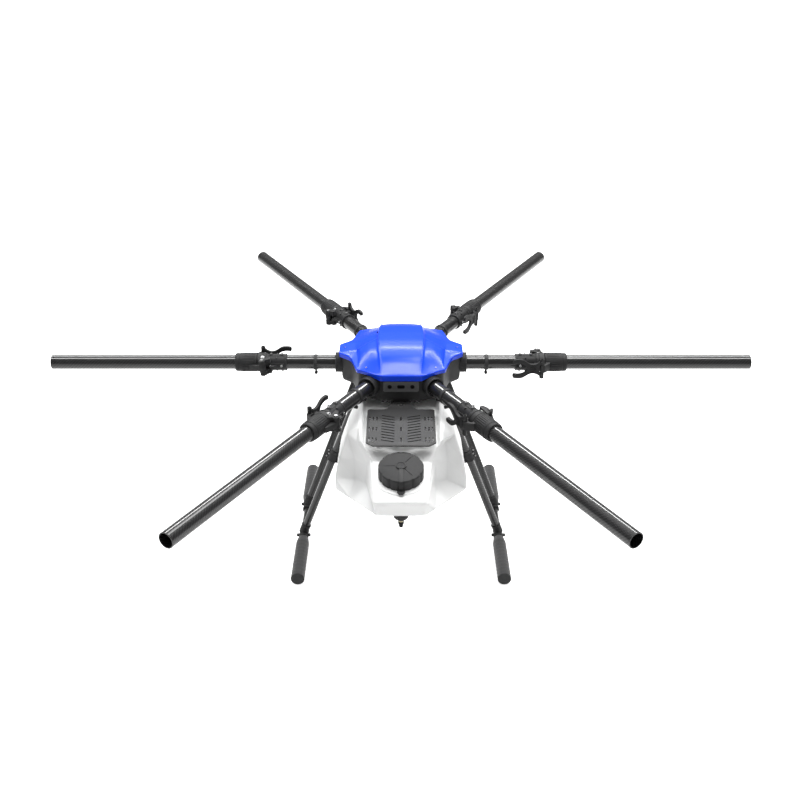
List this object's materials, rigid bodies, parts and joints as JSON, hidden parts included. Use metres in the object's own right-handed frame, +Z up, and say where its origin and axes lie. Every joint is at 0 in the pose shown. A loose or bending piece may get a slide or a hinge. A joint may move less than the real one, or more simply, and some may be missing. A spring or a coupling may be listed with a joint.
{
  "type": "agricultural spray drone frame",
  "caption": "Folding multi-arm spray drone frame with hub and blue cover, latched carbon arms, liquid tank with screw lid, battery tray and skid landing gear.",
  "frame": {"origin": "on the ground, under the middle of the hub, with the skids' foam sleeves resting on z = 0", "axes": "+Z up; +X along one opposite pair of arms, which is the longest extent; -Y towards the side with the battery tray and the tank's filler lid"},
  "size_m": [1.74, 1.524, 0.554],
  "materials": {
    "blue_cover": "bright blue moulded shell, glossy",
    "dark_plastic": "dark grey moulded plastic, satin",
    "carbon_tube": null,
    "root_tube_black": "plain black carbon tube, satin",
    "steel": "bright steel pin",
    "tray_grey": "dark grey plate, satin",
    "tank_white": "white blow-moulded tank, slightly translucent",
    "black_rubber": "black sealing rubber",
    "black_foam": null,
    "circuit_board": "green circuit board"
  },
  "bodies": {
    "frame": {"hub_shell": "dark_plastic", "top_cover": "blue_cover", "front_panel": "dark_plastic", "power_board": "circuit_board", "flight_controller": "dark_plastic", "battery_tray": "tray_grey", "tank": "tank_white", "tank_outlet": "dark_plastic", "arm_root_tube_1": "root_tube_black", "arm_clamp_1": "dark_plastic", "fold_pin_1": "steel", "arm_root_tube_2": "root_tube_black", "arm_clamp_2": "dark_plastic", "fold_pin_2": "steel", "arm_root_tube_3": "root_tube_black", "arm_clamp_3": "dark_plastic", "fold_pin_3": "steel", "arm_root_tube_4": "root_tube_black", "arm_clamp_4": "dark_plastic", "fold_pin_4": "steel", "arm_root_tube_5": "root_tube_black", "arm_clamp_5": "dark_plastic", "fold_pin_5": "steel", "arm_root_tube_6": "root_tube_black", "arm_clamp_6": "dark_plastic", "fold_pin_6": "steel", "leg_front_right": "carbon_tube", "leg_clamp_front_right": "dark_plastic", "foam_front_right": "black_foam", "leg_rear_right": "carbon_tube", "leg_clamp_rear_right": "dark_plastic", "foam_rear_right": "black_foam", "skid_right": "carbon_tube", "leg_front_left": "carbon_tube", "leg_clamp_front_left": "dark_plastic", "foam_front_left": "black_foam", "leg_rear_left": "carbon_tube", "leg_clamp_rear_left": "dark_plastic", "foam_rear_left": "black_foam", "skid_left": "carbon_tube"},
    "arm_1": {"arm_collar_1": "dark_plastic", "arm_tube_1": "carbon_tube"},
    "latch_1": {"arm_latch_1": "dark_plastic"},
    "arm_2": {"arm_collar_2": "dark_plastic", "arm_tube_2": "carbon_tube"},
    "latch_2": {"arm_latch_2": "dark_plastic"},
    "arm_3": {"arm_collar_3": "dark_plastic", "arm_tube_3": "carbon_tube"},
    "latch_3": {"arm_latch_3": "dark_plastic"},
    "arm_4": {"arm_collar_4": "dark_plastic", "arm_tube_4": "carbon_tube"},
    "latch_4": {"arm_latch_4": "dark_plastic"},
    "arm_5": {"arm_collar_5": "dark_plastic", "arm_tube_5": "carbon_tube"},
    "latch_5": {"arm_latch_5": "dark_plastic"},
    "arm_6": {"arm_collar_6": "dark_plastic", "arm_tube_6": "carbon_tube"},
    "latch_6": {"arm_latch_6": "dark_plastic"},
    "gasket": {"lid_gasket": "black_rubber"},
    "lid": {"tank_lid": "dark_plastic"}
  },
  "joints": [
    {"name": "arm_1_fold", "type": "hinge", "parent": "frame", "child": "arm_1", "pos_m": [0.3415, 0.0315, 0.483], "axis": [0.1115, 0, 0.9938], "range_deg": [0, 125]},
    {"name": "latch_1_open", "type": "hinge", "parent": "arm_1", "child": "latch_1", "pos_m": [0.348, -0.037, 0.483], "axis": [0, 0, 1], "range_deg": [0, 110]},
    {"name": "arm_2_fold", "type": "hinge", "parent": "frame", "child": "arm_2", "pos_m": [0.14347, 0.3115, 0.483], "axis": [0.0557, 0.0965, 0.9938], "range_deg": [0, 125]},
    {"name": "latch_2_open", "type": "hinge", "parent": "arm_2", "child": "latch_2", "pos_m": [0.20604, 0.28288, 0.483], "axis": [0, 0, 1], "range_deg": [0, 110]},
    {"name": "arm_3_fold", "type": "hinge", "parent": "frame", "child": "arm_3", "pos_m": [-0.19803, 0.28, 0.483], "axis": [-0.0557, 0.0965, 0.9938], "range_deg": [0, 125]},
    {"name": "latch_3_open", "type": "hinge", "parent": "arm_3", "child": "latch_3", "pos_m": [-0.14196, 0.31988, 0.483], "axis": [0, 0, 1], "range_deg": [0, 110]},
    {"name": "arm_4_fold", "type": "hinge", "parent": "frame", "child": "arm_4", "pos_m": [-0.3415, -0.0315, 0.483], "axis": [-0.1115, 0, 0.9938], "range_deg": [0, 125]},
    {"name": "latch_4_open", "type": "hinge", "parent": "arm_4", "child": "latch_4", "pos_m": [-0.348, 0.037, 0.483], "axis": [0, 0, 1], "range_deg": [0, 110]},
    {"name": "arm_5_fold", "type": "hinge", "parent": "frame", "child": "arm_5", "pos_m": [-0.14347, -0.3115, 0.483], "axis": [-0.0557, -0.0965, 0.9938], "range_deg": [0, 125]},
    {"name": "latch_5_open", "type": "hinge", "parent": "arm_5", "child": "latch_5", "pos_m": [-0.20604, -0.28288, 0.483], "axis": [0, 0, 1], "range_deg": [0, 110]},
    {"name": "arm_6_fold", "type": "hinge", "parent": "frame", "child": "arm_6", "pos_m": [0.19803, -0.28, 0.483], "axis": [0.0557, -0.0965, 0.9938], "range_deg": [0, 125]},
    {"name": "latch_6_open", "type": "hinge", "parent": "arm_6", "child": "latch_6", "pos_m": [0.14196, -0.31988, 0.483], "axis": [0, 0, 1], "range_deg": [0, 110]},
    {"name": "lid_lift", "type": "slide", "parent": "frame", "child": "gasket", "axis": [0, -0.165, 0.9863], "range_m": [0, 0.003]},
    {"name": "lid_turn", "type": "hinge", "parent": "gasket", "child": "lid", "pos_m": [0, -0.39, 0.3935], "axis": [0, -0.165, 0.9863], "range_deg": [0, 90]}
  ],
  "couplings": [
    {"joint": "lid_lift", "follows": "lid_turn", "m_per_rad": 0.0019099}
  ]
}
